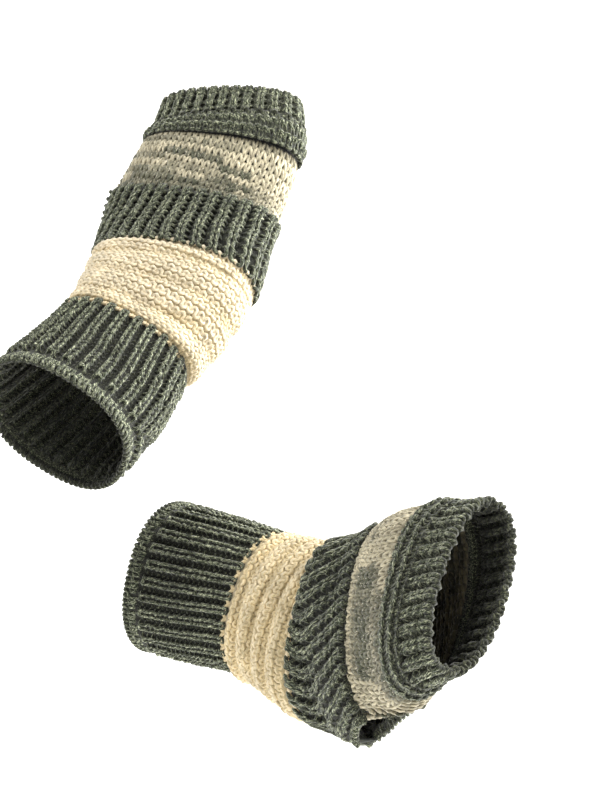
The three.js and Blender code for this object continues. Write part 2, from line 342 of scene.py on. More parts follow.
def relief(name, knit, along, share, glove):
    """How far the cloth's middle stands over its plain place, and how much painted shade it takes, 0 to 1.
    """
    band = BANDS[name]
    into = along - band["start"]
    to_end = band["end"] - along
    wave = rib_wave(knit, share)
    seed, ribs, rolls = glove["seed"], glove["ribs"], glove["rolls"]
    pressed = creased(glove["creases"], along, share)
    height = pressed + 0.35 * uneven(share, along, seed + 2, 6)
    # Painted shade in the pressed-in creases.
    sunk = np.clip(-0.5 * pressed, 0, 1)
    if name == "cuff":
        # Narrow grooves, which start past a flat edge, with painted shade in them.
        rib = ease(wave, 0.25, 0.85)
        depth = ease(into, 4.5, 10)
        height += knit.rib_height * ribs * (1.9 * rib - 1.0) * depth + 0.4 * (1 - ease(into, 0, 9))
        sunk += ribs * (1 - ease(wave, 0.15, 0.75)) * depth
    if name == "rib_band":
        # Broad ribs, softer beside the cream band and fuller toward the fingers, with painted shade in the
        # grooves and an even painted shade over the whole band.
        rib = ease(wave, 0.0, 0.45)
        groove = (1 - rib) * (0.3 + 0.7 * ease(into, 1, 7))
        height += knit.rib_height * ribs * (0.9 * rib - 1.1 * groove) + 0.9 * ease(into, 26, 38)
        sunk += 0.27 + ribs * groove
    if name == "finger_band":
        # A thick roll with a deep line past it, then ribs that flatten toward the edge; painted shade over
        # the whole band and in the rib grooves, darkest in the line past the roll.
        rib = ease(wave, 0.0, 0.5)
        depth = ease(into, 10.5, 12.5) * (1 - 0.6 * ease(into, 22.5, 25))
        roll = np.sin(np.pi * np.clip((into + 2.5) / 14.5, 0, 1)) ** 0.5
        height += 2.7 * roll + knit.rib_height * (1.45 * rib - 0.75) * depth
        sunk += 0.15 + 0.38 * (1 - rib) * depth + 0.9 * (1 - ease(np.abs(into - 11.5), 0, 1.6))
    if name == "marl_band":
        # Plain, and drawn in under the roll of the finger band, with a painted shadow under the roll.
        height -= 1.0 * (1 - ease(to_end, 0, 5))
        sunk += 0.9 * (1 - ease(to_end, 1.0, 4.0))
    if name == "welt_band":
        # Soft rolls round the wrist, uneven in width and strength, with painted shade in the valleys between
        # them and over the first millimetres past the cuff.
        turn = glove["roll_count"] * into / (band["end"] - band["start"])
        turn = turn + 0.20 * uneven(share, along, seed) + 0.25 * np.sin(2 * np.pi * share)
        strength = rolls * (0.80 + 0.35 * uneven(share, along, seed + 1))
        roll = np.abs(np.sin(np.pi * turn)) ** 0.7
        started = ease(into, 1, 6)
        height += knit.roll_height * strength * (roll - 0.35) * started * (1 - 0.7 * ease(into, 42, 45))
        sunk += strength * (1 - roll) * started * ease(to_end, 1, 5) + 0.55 * (1 - ease(into, 1, 8))
        # Painted shade over the whole band on the glove whose rolls are stronger than SHALLOW_ROLLS.
        sunk += 0.9 * (rolls - SHALLOW_ROLLS)
    return height, np.clip(sunk, 0, 1)


# ---------------------------------------------------------------- nodes

NODES_IN_ROW = 8
NODE_SPACE = (220, 320)


def feed(tree, socket, value):
    """Gives a socket a plain value, or links it to another socket or to a list of them."""
    for source in value if isinstance(value, list) else [value]:
        if isinstance(source, bpy.types.NodeSocket):
            tree.links.new(source, socket)
        else:
            socket.default_value = source


def add_node(tree, kind, inputs=None, **values):
    """Adds a node with its inputs fed, by name or number, in rows in the order of making; its outputs."""
    made = len(tree.nodes)
    node = tree.nodes.new(kind)
    node.location = (made % NODES_IN_ROW * NODE_SPACE[0], made // NODES_IN_ROW * NODE_SPACE[1])
    for key, value in values.items():
        setattr(node, key, value)
    for key, value in (inputs or {}).items():
        feed(tree, node.inputs[key], value)
    return node.outputs


def new_tree(name, kind, inputs, outputs):
    """A node tree with named sockets, given as names and kinds, and its two ends."""
    tree = bpy.data.node_groups.new(name, kind)
    for side, sockets in (("INPUT", inputs), ("OUTPUT", outputs)):
        for label, socket_kind in sockets.items():
            tree.interface.new_socket(label, in_out=side, socket_type="NodeSocket" + socket_kind)
    return tree, add_node(tree, "NodeGroupInput"), tree.nodes.new("NodeGroupOutput").inputs


def calculate(tree, operation, *values):
    """The result of one piece of arithmetic on sockets and plain numbers."""
    return add_node(tree, "ShaderNodeMath", dict(enumerate(values)), operation=operation)[0]


def remap(tree, value, low, high, to=(0.0, 1.0), kind="LINEAR"):
    """A value carried from low and high to another pair of ends, and kept between them."""
    inputs = {"Value": value, "From Min": low, "From Max": high, "To Min": to[0], "To Max": to[1]}
    return add_node(tree, "ShaderNodeMapRange", inputs, interpolation_type=kind)["Result"]


def mix_colour(tree, factor, low, high, kind="MIX"):
    """A colour mix; each of factor, low and high is a socket or a plain value."""
    inputs = {index: (*value, 1.0) if isinstance(value, tuple) else value
              for index, value in ((0, factor), (6, low), (7, high))}
    return add_node(tree, "ShaderNodeMix", inputs, data_type="RGBA", blend_type=kind)[2]


# ---------------------------------------------------------------- materials

FLECK_SHARES = {"Light Share": "Float", "Dark Share": "Float"}
FLECK_MASKS = {"Light Flecks": "Float", "Dark Flecks": "Float", "Clouding": "Float", "Fuzz": "Float"}
FLECK_SCALE = 2.1
FLECK_EDGE = 0.09
FLECK_SHIFTS = (("Light", 0.0), ("Dark", 37.0))
CLOUD_SCALE = 90
FUZZ_SCALE = 2.4
TWIST = 1.3
PLIES = 2.0
STITCH_YARN = 5.5
# Painted shade: the cloth's colours are dimmed by this factor.
CLOTH_SHADE_DIM = 0.7
BUMP_DEPTH = 0.0004

# The wools: the settings of their shades; the noise past which light and dark fibres show; the colour factor
# for full painted shade, with a second factor on it for the cloth; and the factor of painted shade in the
# groove between two plies.
WOOL_COLUMNS = ("shades", "light_share", "dark_share", "deep", "behind", "ply_groove_shade")
WOOLS = {
    "green_wool": (("green_body", "green_light", "green_dark"), 0.52, 0.51, (0.24, 0.24, 0.21), 0.45, 0.62),
    "cream_wool": (("cream_body", "cream_light", "cream_dark"), 0.56, 0.60, (0.84, 0.78, 0.62), 0.85, 0.82),
    "marl_wool": (("pale_body", "cream_light", "grey_dark", "grey_body"), 0.60, 0.58, (0.26, 0.25, 0.20),
                  0.45, 0.62),
}


def fleck_group():
    """Fibres of other shades in spun wool, its slow clouding and its fuzz, over a position in mm."""
    group, given, out = new_tree("Wool flecks", "ShaderNodeTree",
                                 {"Position": "Vector", **FLECK_SHARES}, FLECK_MASKS)

    def noise(place, scale, detail, **more):
        inputs = {"Vector": place, "Scale": scale, "Detail": detail, **more}
        return add_node(group, "ShaderNodeTexNoise", inputs)["Fac"]

    for shade, offset in FLECK_SHIFTS:
        share = given[shade + " Share"]
        inputs = {"Vector": given["Position"], "Location": (offset, 0, offset)}
        shift = add_node(group, "ShaderNodeMapping", inputs)["Vector"]
        edge = calculate(group, "ADD", share, FLECK_EDGE)
        mask = remap(group, noise(shift, FLECK_SCALE, 2, Roughness=0.65), share, edge, kind="SMOOTHSTEP")
        feed(group, out[shade + " Flecks"], mask)
    coords = add_node(group, "ShaderNodeTexCoord")["Object"]
    feed(group, out["Clouding"], noise(coords, CLOUD_SCALE, 3))
    feed(group, out["Fuzz"], noise(given["Position"], FUZZ_SCALE, 2))


def spun_group():
    """Wool flecks wound round a yarn with its twist, and its plies' height, from the yarn's own map."""
    group, given, out = new_tree("Spun yarn", "ShaderNodeTree", FLECK_SHARES,
                                 {**FLECK_MASKS, "Ply Height": "Float"})
    spot = add_node(group, "ShaderNodeUVMap", uv_map="YarnMap")["UV"]
    split = add_node(group, "ShaderNodeSeparateXYZ", {0: spot})
    wound = calculate(group, "MULTIPLY", split["X"], TWIST)
    angle = calculate(group, "MULTIPLY", calculate(group, "ADD", wound, split["Y"]), 2 * math.pi)
    place = add_node(group, "ShaderNodeCombineXYZ", {
        0: calculate(group, "MULTIPLY", split["X"], STITCH_YARN),
        1: calculate(group, "COSINE", angle),
        2: calculate(group, "SINE", angle)})
    inputs = {"Position": place[0], **{name: given[name] for name in FLECK_SHARES}}
    flecks = add_node(group, "ShaderNodeGroup", inputs, node_tree=bpy.data.node_groups["Wool flecks"])
    for name in FLECK_MASKS:
        feed(group, out[name], flecks[name])
    plies = calculate(group, "MULTIPLY", angle, PLIES)
    feed(group, out["Ply Height"], calculate(group, "SINE", plies))


def new_material(name, **settings):
    """A new material, its node tree and the inputs of its surface."""
    material = bpy.data.materials.new(name)
    material.use_nodes = True
    surface = material.node_tree.nodes["Principled BSDF"].inputs
    for key, value in settings.items():
        surface[key.replace("_", " ")].default_value = value
    return material, material.node_tree, surface


def wool(slot, yarn):
    """The material of a slot, for its yarn or for the cloth under it, made on first use: light and dark
    flecks over its body, which in striped wool blends to a fourth shade by its tone, all darkened by the
    painted shade that its points carry, and the cloth dimmed all over as painted shade."""
    name = slot + ("_yarn" if yarn else "_cloth")
    if name in bpy.data.materials:
        return bpy.data.materials[name]
    if "Wool flecks" not in bpy.data.node_groups:
        fleck_group()
        spun_group()
    look = dict(zip(WOOL_COLUMNS, WOOLS[slot]))
    colours = bpy.context.scene.glove_colours
    dim = 1.0 if yarn else CLOTH_SHADE_DIM
    shades = [tuple(dim * c for c in getattr(colours, shade)) for shade in look["shades"]]
    deep = look["deep"] if yarn else tuple(look["behind"] * c for c in look["deep"])
    material, tree, surface = new_material(name, Roughness=0.92, Sheen_Weight=0.2, Sheen_Roughness=0.6,
                                           Specular_IOR_Level=0.2)
    inputs = {"Light Share": look["light_share"], "Dark Share": look["dark_share"]}
    if not yarn:
        coords = add_node(tree, "ShaderNodeTexCoord")["Object"]
        in_mm = add_node(tree, "ShaderNodeMapping", {"Vector": coords, "Scale": (1 / MM,) * 3})
        inputs["Position"] = in_mm["Vector"]
    group = bpy.data.node_groups["Spun yarn" if yarn else "Wool flecks"]
    spun = add_node(tree, "ShaderNodeGroup", inputs, node_tree=group)
    colour = shades[0]
    if len(shades) > 3:
        tone = add_node(tree, "ShaderNodeAttribute", attribute_name="tone")["Fac"]
        colour = mix_colour(tree, tone, shades[3], colour)
    colour = mix_colour(tree, spun["Dark Flecks"], colour, shades[2])
    colour = mix_colour(tree, spun["Light Flecks"], colour, shades[1])
    clouds = remap(tree, spun["Clouding"], 0.3, 0.7, (0.80, 1.15))
    colour = mix_colour(tree, 1.0, colour, clouds, "MULTIPLY")
    height = spun["Fuzz"]
    if yarn:
        # Painted shade in the groove between the plies.
        groove = remap(tree, spun["Ply Height"], -1.0, 0.2, (look["ply_groove_shade"], 1.0))
        colour = mix_colour(tree, 1.0, colour, groove, "MULTIPLY")
        height = calculate(tree, "MULTIPLY_ADD", spun["Ply Height"], 0.5, height)
    # Painted shade: the colour is darkened toward the shade factor as the painted shade on the points rises.
    hollow = add_node(tree, "ShaderNodeAttribute", attribute_name="hollow")["Fac"]
    colour = mix_colour(tree, hollow, colour, mix_colour(tree, 1.0, colour, deep, "MULTIPLY"))
    feed(tree, surface["Base Color"], colour)
    bump = add_node(tree, "ShaderNodeBump", {"Strength": 0.8, "Distance": BUMP_DEPTH, "Height": height})
    feed(tree, surface["Normal"], bump["Normal"])
    return material


# ---------------------------------------------------------------- knitting

def yarn_tree():
    """Geometry nodes that lay a round yarn along a band's courses and raise stray fibres on it."""
    if "Yarn along courses" in bpy.data.node_groups:
        return bpy.data.node_groups["Yarn along courses"]
    tree, given, out = new_tree("Yarn along courses", "GeometryNodeTree", {
        "Courses": "Geometry", "Yarn Radius": "Float", "Sides": "Int", "Fibre Density": "Float",
        "Fibre Length": "Float", "Fibre Radius": "Float", "Side Shade": "Float", "Seed": "Int",
        "Wool": "Material"}, {"Yarn": "Geometry"})

    def lay(kind, inputs, output="Geometry", **values):
        return add_node(tree, "GeometryNode" + kind, inputs, **values)[output]

    def carried(name, kind="FLOAT"):
        return lay("InputNamedAttribute", {"Name": name}, "Attribute", data_type=kind)

    def tube(path, radius, sides):
        ring = lay("CurvePrimitiveCircle", {"Radius": radius, "Resolution": sides}, "Curve", mode="RADIUS")
        return lay("CurveToMesh", {"Curve": path, "Profile Curve": ring, "Fill Caps": True}, "Mesh")

    def compare(value, operation, limit):
        return add_node(tree, "FunctionNodeCompare", {0: value, 1: limit}, data_type="FLOAT",
                        operation=operation)["Result"]

    path = lay("MeshToCurve", {"Mesh": given["Courses"]}, "Curve")
    path = lay("SetCurveRadius", {"Curve": path, "Radius": carried("thickness")}, "Curve")
    strand = tube(path, given["Yarn Radius"], given["Sides"])

    # Painted shade: the yarn's colour darkens where it turns away from the cloth's outer side, added to the
    # painted shade it carries; fibres grow on the open part.
    facing = add_node(tree, "ShaderNodeVectorMath", operation="DOT_PRODUCT", inputs={
        0: carried("outward", "FLOAT_VECTOR"), 1: lay("InputNormal", None, "Normal")})["Value"]
    hollow = carried("hollow")
    away = remap(tree, facing, 0.85, 0.0, kind="SMOOTHSTEP")
    shade_with_sides = calculate(tree, "MULTIPLY_ADD", away, given["Side Shade"], hollow)
    shaded = lay("StoreNamedAttribute", {"Geometry": strand, "Name": "hollow", "Value": shade_with_sides},
                 data_type="FLOAT", domain="POINT")
    bare = add_node(tree, "FunctionNodeBooleanMath", operation="AND", inputs={
        0: compare(hollow, "LESS_THAN", 0.55), 1: compare(facing, "GREATER_THAN", 0.45)})
    scatter = add_node(tree, "GeometryNodeDistributePointsOnFaces", {
        "Mesh": shaded, "Selection": bare["Boolean"], "Density": given["Fibre Density"],
        "Seed": given["Seed"]})
    bend = lay("CurveQuadraticBezier", {"Resolution": 2, "Start": (0, 0, 0), "Middle": (0.15, 0.05, 0.55),
                                        "End": (0.55, -0.05, 0.75)}, "Curve")
    fatness = calculate(tree, "DIVIDE", given["Fibre Radius"], given["Fibre Length"])
    lean = add_node(tree, "FunctionNodeRandomValue", data_type="FLOAT_VECTOR", inputs={
        "Min": (-1.1, -1.1, -3.14), "Max": (1.1, 1.1, 3.14), "Seed": given["Seed"]})
    lean = add_node(tree, "FunctionNodeEulerToRotation", {0: lean["Value"]})[0]
    turned = add_node(tree, "FunctionNodeRotateRotation", rotation_space="LOCAL", inputs={
        "Rotation": scatter["Rotation"], "Rotate By": lean})
    size = add_node(tree, "FunctionNodeRandomValue", {"Min": 0.5, "Seed": given["Seed"]}, data_type="FLOAT")
    planted = lay("InstanceOnPoints", {
        "Points": scatter["Points"], "Instance": tube(bend, fatness, 3), "Rotation": turned[0],
        "Scale": calculate(tree, "MULTIPLY", size[1], given["Fibre Length"])}, "Instances")

    # The strand's own points come first in the mesh, and map_yarn counts on that.
    joined = lay("JoinGeometry", {"Geometry": [lay("RealizeInstances", {"Geometry": planted}), shaded]})
    solid = lay("RealizeInstances", {"Geometry": lay("SetShadeSmooth", {"Geometry": joined})})
    feed(tree, out["Yarn"], lay("SetMaterial", {"Geometry": solid, "Material": given["Wool"]}))
    return tree


def is_knit(name, row, wale, rows, count):
    """True where a stitch shows its legs, false where it shows its bump."""
    even = wale % 2 == 0
    if name == "cuff" and row < 3:
        return np.full_like(even, row == 1)
    if name == "finger_band" and not 2 < row < rows - 1:
        return np.full_like(even, row == rows - 1)
    if name == "welt_band":
        return np.full_like(even, False)
    return (wale > 1) & (wale < count - 2) if name == "marl_band" else even


def tone_at(streaks, seed, row, share):
    """How cream the striped yarn is: seeded streaks, with the table's streaks over them."""
    rng = np.random.default_rng(seed + 100 * row)
    cuts = np.sort(rng.uniform(0.6, 1.0, 5))
    tones = rng.choice([0.1, 0.2, 0.5, 0.85, 0.95], 6)
    tone = tones[np.searchsorted(cuts, share)]
    for share_from, share_to, streak_tone in streaks[row]:
        tone = np.where((share >= share_from) & (share <= share_to), streak_tone, tone)
    return tone


def stretch(along, **values):
    """A stretch of yarn: everything that holds at its points, as arrays of one length."""
    return {"along": along, **{key: value + 0 * along for key, value in values.items()}}


RIM_STEPS = 12


def wound_edge(name, knit, glove):
    """The yarn wound round the cuff edge or the finger edge, three turns to two stitches."""
    band = BANDS[name]
    wound = np.arange(knit.stitches_round * RIM_STEPS + 1) / RIM_STEPS
    angle = 2 * np.pi * wound * 1.5
    edge = band["start"] + 1.0 if name == "cuff" else band["end"] - 0.8
    share = wound / knit.stitches_round
    along = edge + 1.5 * np.cos(angle)
    raised, hollow = relief(name, knit, along, share, glove)
    # The yarn round the edge takes some painted shade all along, and more where the band has painted shade.
    return stretch(along, share=share, height=-1.2 + 0.85 * np.sin(angle) + raised, row=band["rows"],
                   run=wound, tone=0, thickness=0.75, hollow=0.2 + 0.3 * hollow)


def slit_rims(name, knit, glove, surface):
    """The yarn wound round both sides of the thumb slit, as far as it lies in a band."""
    band = BANDS[name]
    low, high = max(band["start"], SLIT_FROM - 0.5), min(band["end"], SLIT_TO + 0.5)
    rims = []
    for side in (0, 1) if low < high else ():
        wound = np.arange(int((high - low) / 2.4 * RIM_STEPS) + 1) / RIM_STEPS
        angle = 2 * np.pi * wound
        along = low + (high - low) * wound / wound[-1]
        share = (1.1 + 1.0 * np.cos(angle)) / surface.girth_at(along)
        share = 1 - share if side else share
        raised, hollow = relief(name, knit, along, share, glove)
        tone = 0.85 * (np.sin(0.9 * angle) > 0) if name == "marl_band" else 0
        # Painted shade on the rims, a fifth of the band's.
        rims.append(stretch(along, share=share, height=-1.0 + 1.3 * np.sin(angle) + raised,
                            row=band["rows"], run=wound + 30 * side, tone=tone, thickness=0.9,
                            hollow=0.2 * hollow))
    return rims


def band_courses(name, knit, side_name):
    """The path of the yarn through every stitch of a band, course after course."""
    glove = GLOVES[side_name]
    surface = SURFACES[side_name]
    band = BANDS[name]
    rows, steps, count = band["rows"], band["steps"], knit.stitches_round
    row_height = (band["end"] - band["start"]) / rows
    turn = np.arange(count * steps + 1) / steps - 0.5
    wale = np.clip(np.round(turn).astype(int), 0, count - 1)
    off_centre = turn - wale
    beside = np.clip(wale + np.sign(off_centre).astype(int), 0, count - 1)
    pull = ease(np.abs(off_centre), 0.34, 0.5) * 0.5
    lift = -band["depth"] * np.cos(4 * np.pi * turn) - band["lie"] * np.cos(2 * np.pi * turn)
    rng = np.random.default_rng(glove["seed"])
    loose = band["loose"]
    ends = {0: band["first"], rows - 1: band["last"]}

    def jitter(size):
        """A seeded unevenness from stitch to stitch."""
        return rng.normal(0, size, count)[wale] * (1 - 2 * np.abs(off_centre))

    courses = []
    for row in range(rows):
        centre = band["start"] + (row + 0.5) * row_height
        share = turn + 0.5 + band["bulge"] * np.sin(4 * np.pi * turn) + loose * jitter(0.05)
        share = (share + band["spread"] * 2 * np.sin(np.pi * (share - 0.5))) / count
        reach = row_height * band["overlap"] / 2 * ends.get(row, 1.0)
        along = centre + reach * np.cos(2 * np.pi * turn) + loose * jitter(0.16)
        here, there = (np.where(is_knit(name, row, near, rows, count), 1.0, -1.0) for near in (wale, beside))
        facing = here * (1 - pull) + there * pull
        height = YARN_MIDDLE + facing * lift + loose * jitter(0.14)
        raised, hollow = relief(name, knit, along, share, glove)
        # Painted shade where the yarn dips back into the cloth.
        hollow = hollow + 0.6 * ease(-facing * lift / band["depth"], 0.1, 1.0)
        thick = 1 + jitter(0.06) + band["swell"] * facing
        if name == "finger_band" and row < 2:
            thick = thick * 1.15
        tone = 0
        if name == "marl_band":
            tone = tone_at(glove["streaks"], glove["seed"], row, share)
            tone = np.clip(tone + rng.normal(0, 0.10, count)[wale], 0, 1)
        course = stretch(along, share=share, height=height + raised, row=row, run=turn + 0.5, tone=tone,
                         thickness=thick, hollow=hollow)
        # Beside the open slit the yarn goes back and forth; elsewhere it goes round.
        flip = -1 if SLIT_FROM < centre < SLIT_TO and row % 2 else 1
        courses.append({key: value[::flip] for key, value in course.items()})
    if name == "cuff":
        courses.insert(0, wound_edge(name, knit, glove))
    if name == "finger_band":
        courses.append(wound_edge(name, knit, glove))
    rims = slit_rims(name, knit, glove, surface)
    strands = [sum(len(course["along"]) for course in courses), *(len(rim["along"]) for rim in rims)]
    path = {key: np.concatenate([part[key] for part in courses + rims]) for key in courses[0]}
    path["strand"] = np.repeat(np.arange(len(strands)), strands)
    path["points"] = surface.place(path["along"], path["share"], path["height"])
    raised = surface.place(path["along"], path["share"], path["height"] + 1.0)
    path["outward"] = (raised - path["points"]) / MM
    return path


def add_object(name, data):
    thing = bpy.data.objects.new(name, data)
    bpy.context.scene.collection.objects.link(thing)
    return thing


def finish_mesh(name, mesh, material):
    mesh.materials.clear()
    mesh.materials.append(material)
    return add_object(name, mesh)


def store(mesh, name, values, kind="FLOAT", field="value"):
    """Values for a mesh's points."""
    layer = mesh.attributes.new(name, kind, "POINT")
    layer.data.foreach_set(field, np.ravel(values).astype(np.float32))


def store_map(mesh, name, corners):
    """A map, as a pair of numbers for each corner."""
    mesh.uv_layers.new(name=name).data.foreach_set("uv", np.ravel(corners).astype(np.float32))


def knit_yarn(name, band, path, knit, seed, material):
    """Turns a band's courses into yarn, and gives it a map that runs along and round the yarn."""
    mesh = bpy.data.meshes.new(name + "_courses")
    onward = np.flatnonzero(path["strand"][1:] == path["strand"][:-1])
    mesh.from_pydata(path["points"].tolist(), np.stack([onward, onward + 1], 1).tolist(), [])
    for key in ("row", "run", "tone", "thickness", "hollow"):
        store(mesh, key, path[key])
    store(mesh, "outward", path["outward"], "FLOAT_VECTOR", "vector")
    courses = add_object(name + "_courses", mesh)
    modifier = courses.modifiers.new("Yarn", "NODES")
    modifier.node_group = yarn_tree()
    inputs = {"Yarn Radius": band["radius"] * MM, "Sides": knit.yarn_sides,
              "Fibre Density": knit.fibre_density, "Fibre Length": knit.fibre_length * MM,
              "Fibre Radius": knit.fibre_radius * MM, "Side Shade": knit.side_shade,
              "Seed": seed, "Wool": material}
    for item in modifier.node_group.interface.items_tree:
        if item.name in inputs:
            modifier[item.identifier] = inputs[item.name]
    graph = bpy.context.evaluated_depsgraph_get()
    made = bpy.data.meshes.new_from_object(courses.evaluated_get(graph), preserve_all_data_layers=True,
                                           depsgraph=graph)
    courses.modifiers.remove(modifier)
    bpy.data.objects.remove(courses)
    bpy.data.meshes.remove(mesh)
    made.name = name
    map_yarn(made, band["rows"] + 1, len(path["points"]) * knit.yarn_sides, knit)
    return finish_mesh(name, made, material)


STRIPS = 3


def read_all(items, field, kind):
    """One field of every item of a mesh, as an array."""
    values = np.empty(len(items), kind)
    items.foreach_get(field, values)
    return values


def map_yarn(mesh, rows, yarn_corners, knit):
    """Two maps: one lays each course out in strips, one counts stitches along and turns round."""
    sides = knit.yarn_sides
    vertex = read_all(mesh.loops, "vertex_index", int)
    starts = read_all(mesh.polygons, "loop_start", int)
    totals = read_all(mesh.polygons, "loop_total", int)
    row = read_all(mesh.attributes["row"].data, "value", float)
    run = read_all(mesh.attributes["run"].data, "value", float)
    if np.ptp(run[:yarn_corners].reshape(-1, sides), axis=1).max() > 1e-3:
        raise ValueError(mesh.name + ": the yarn's points do not come first, ring by ring")
    face = np.repeat(np.arange(len(starts)), totals)
    around = np.where(vertex < yarn_corners, vertex % sides, 0).astype(float)
    low = np.minimum.reduceat(around, starts)[face]
    high = np.maximum.reduceat(around, starts)[face]
    around = np.where((high - low > 1.5) & (around < 0.5) & (totals[face] == 4), sides, around)
    corner_run = run[vertex]
    first_run = np.minimum.reduceat(corner_run, starts)
    first_row = np.minimum.reduceat(row[vertex], starts)[face]
    strip = np.clip(np.floor(first_run * STRIPS / knit.stitches_round + 1e-4), 0, STRIPS - 1)[face]
    u = np.clip(corner_run * STRIPS / knit.stitches_round - strip, 0, 1)
    v = (first_row * STRIPS + strip + 0.1 + 0.8 * around / sides) / (rows * STRIPS)
    length = corner_run + 57 * first_row
    store_map(mesh, "OFBake", np.stack([0.01 + 0.98 * u, v], 1))
    store_map(mesh, "YarnMap", np.stack([length, around / sides], 1))


def wall_levels(band):
    """The distances at which a band's wall has points, with the ends of the slit among them."""
    levels = [band["start"] + SEAM_GAP, band["end"] - SEAM_GAP]
    ends = [stop for stop in (SLIT_FROM, SLIT_TO) if levels[0] < stop < levels[1]]
    spaced = [level for level in np.arange(levels[0] + WALL_STEP, levels[1] - 1.5, WALL_STEP)
              if all(abs(level - stop) > 1.2 for stop in ends)]
    return np.array(sorted(levels + ends + spaced))


def cloth_wall(name, band_name, knit, side_name, material):
    """The thin closed wall of cloth in the middle of a band, with the slit left open."""
    glove = GLOVES[side_name]
    surface = SURFACES[side_name]
    band = BANDS[band_name]
    columns = knit.stitches_round * 3 // 2
    levels = wall_levels(band)
    length = len(levels) - 1
    share = np.arange(columns + 1) / columns
    faces, points, maps, index = [], [], [], {}
    for face_name, offset in (("outer", HALF_WALL), ("inner", -HALF_WALL)):
        for i, level in enumerate(levels):
            along = np.full(columns + 1, level)
            inside = ease(min(level - band["start"], band["end"] - level), 0, 4)
            raised = relief(band_name, knit, along, share, glove)[0]
            placed = surface.place(along, share, WALL_MIDDLE + offset + WALL_RELIEF * inside * raised)
            used = columns + (half_gape(level) > 0)
            index.update({(face_name, i, j): len(points) + j for j in range(used)})
            index.setdefault((face_name, i, columns), len(points))
            points.extend(placed[:used])

    def add(corners, spots, order=1):
        """A face, given by (face name, level, column) and its places on the map."""
        order = order * int(glove["side"])
        faces.append([index[corner] for corner in corners][::order])
        maps.extend(spots[::order])

    def across(j):
        return 0.01 + 0.98 * j / columns

    for i in range(length):
        for j in range(columns):
            quad = ((i, j), (i, j + 1), (i + 1, j + 1), (i + 1, j))
            for face_name, low, order in (("outer", 0.01, 1), ("inner", 0.51, -1)):
                add([(face_name, a, b) for a, b in quad],
                    [(across(b), low + 0.44 * a / length) for a, b in quad], order)
        if half_gape(levels[i]) > 0 or half_gape(levels[i + 1]) > 0:
            for j, order in ((0, 1), (columns, -1)):
                strip = (("outer", i, j), ("outer", i + 1, j), ("inner", i + 1, j), ("inner", i, j))[::order]
                add(strip, [(0.0, 0.46), (0.005, 0.46), (0.005, 0.47), (0.0, 0.47)])
    for i, order, edge in ((0, 1, 0.46), (length, -1, 0.96)):
        for j in range(columns):
            strip = (("outer", i, j), ("inner", i, j), ("inner", i, j + 1), ("outer", i, j + 1))
            spots = [(across(b), edge + 0.02 * (face_name == "inner")) for face_name, a, b in strip]
            add(strip, spots, order)
    mesh = bpy.data.meshes.new(name)
    mesh.from_pydata(np.array(points).tolist(), [], faces)
    store_map(mesh, "OFBake", maps)
    # Painted shade on the wall's outer face, which shows between the stitches; less of it on the finger
    # band.
    outer_face_shade = 0.6 if band_name == "finger_band" else 1.0
    store(mesh, "hollow", outer_face_shade * (np.arange(len(points)) < len(points) // 2))
    mesh.shade_smooth()
    mesh.update()
    return finish_mesh(name, mesh, material)


def make_band(band_name):
    """One band on both gloves: the cloth wall that stands for the solid, and the yarn on it."""
    knit = bpy.context.scene.glove_knit
    band = BANDS[band_name]
    for side_name, surface in SURFACES.items():
        node = side_name + "_" + band_name
        cloth = cloth_wall(node + "_cloth", band_name, knit, side_name, wool(band["material"], False))
        path = band_courses(band_name, knit, side_name)
        yarn = knit_yarn(node + "_yarn", band, path, knit, surface.seed, wool(band["material"], True))
        for piece in (cloth, yarn):
            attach(piece, "root")
        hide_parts(node)
        girth = float(np.mean(surface.girth_at(np.linspace(band["start"], band["end"], 9)))) * MM
    return {"FINISHED"}


# ---------------------------------------------------------------- settings and operators

def amount(name, description, default, **more):
    return FloatProperty(name=name, description=description, default=default, **more)


def shade(name, description, default):
    return FloatVectorProperty(name=name, description=description, default=default, subtype="COLOR")


class GLOVES_PG_knit(bpy.types.PropertyGroup):
    stitches_round: IntProperty(name="Stitches Round", description="Stitches in one course", default=56)
    yarn_sides: IntProperty(name="Yarn Sides", description="Sides of the yarn's round section", default=5)
    fibre_density: amount("Fibre Density", "Stray fibres on a square metre of yarn", 27000.0)
    fibre_length: amount("Fibre Length", "Longest stray fibre, in mm", 1.9)
    fibre_radius: amount("Fibre Radius", "Radius of a stray fibre, in mm", 0.035)
    rib_height: amount("Rib Height", "How far a rib stands out, in mm", 1.9)
    roll_height: amount("Roll Height", "How far a soft roll stands out, in mm", 4.2)
    # Painted shade on the sides of the yarn that turn away from the outer side.
    side_shade: amount("Side Shade", "How far the sides of the yarn darken", 0.9)


class GLOVES_PG_colours(bpy.types.PropertyGroup):
    green_body: shade("Green", "Body of the green yarn", (0.056, 0.070, 0.036))
    green_light: shade("Green Light Fibres", "Pale fibres in the green yarn", (0.57, 0.60, 0.40))
    green_dark: shade("Green Dark Fibres", "Dark fibres in the green yarn", (0.010, 0.013, 0.008))
    cream_body: shade("Cream", "Body of the cream yarn", (0.765, 0.665, 0.48))
    cream_light: shade("Cream Light Fibres", "Pale fibres in the cream yarn", (0.90, 0.82, 0.65))
    cream_dark: shade("Cream Dark Fibres", "Darker fibres in the cream yarn", (0.60, 0.47, 0.28))
    pale_body: shade("Pale Stretches", "Pale stretches of the striped yarn", (0.62, 0.555, 0.385))
    grey_body: shade("Grey Green", "Dark stretches of the striped yarn", (0.096, 0.101, 0.060))
    grey_dark: shade("Grey Dark Fibres", "Dark fibres in the striped yarn", (0.060, 0.062, 0.040))


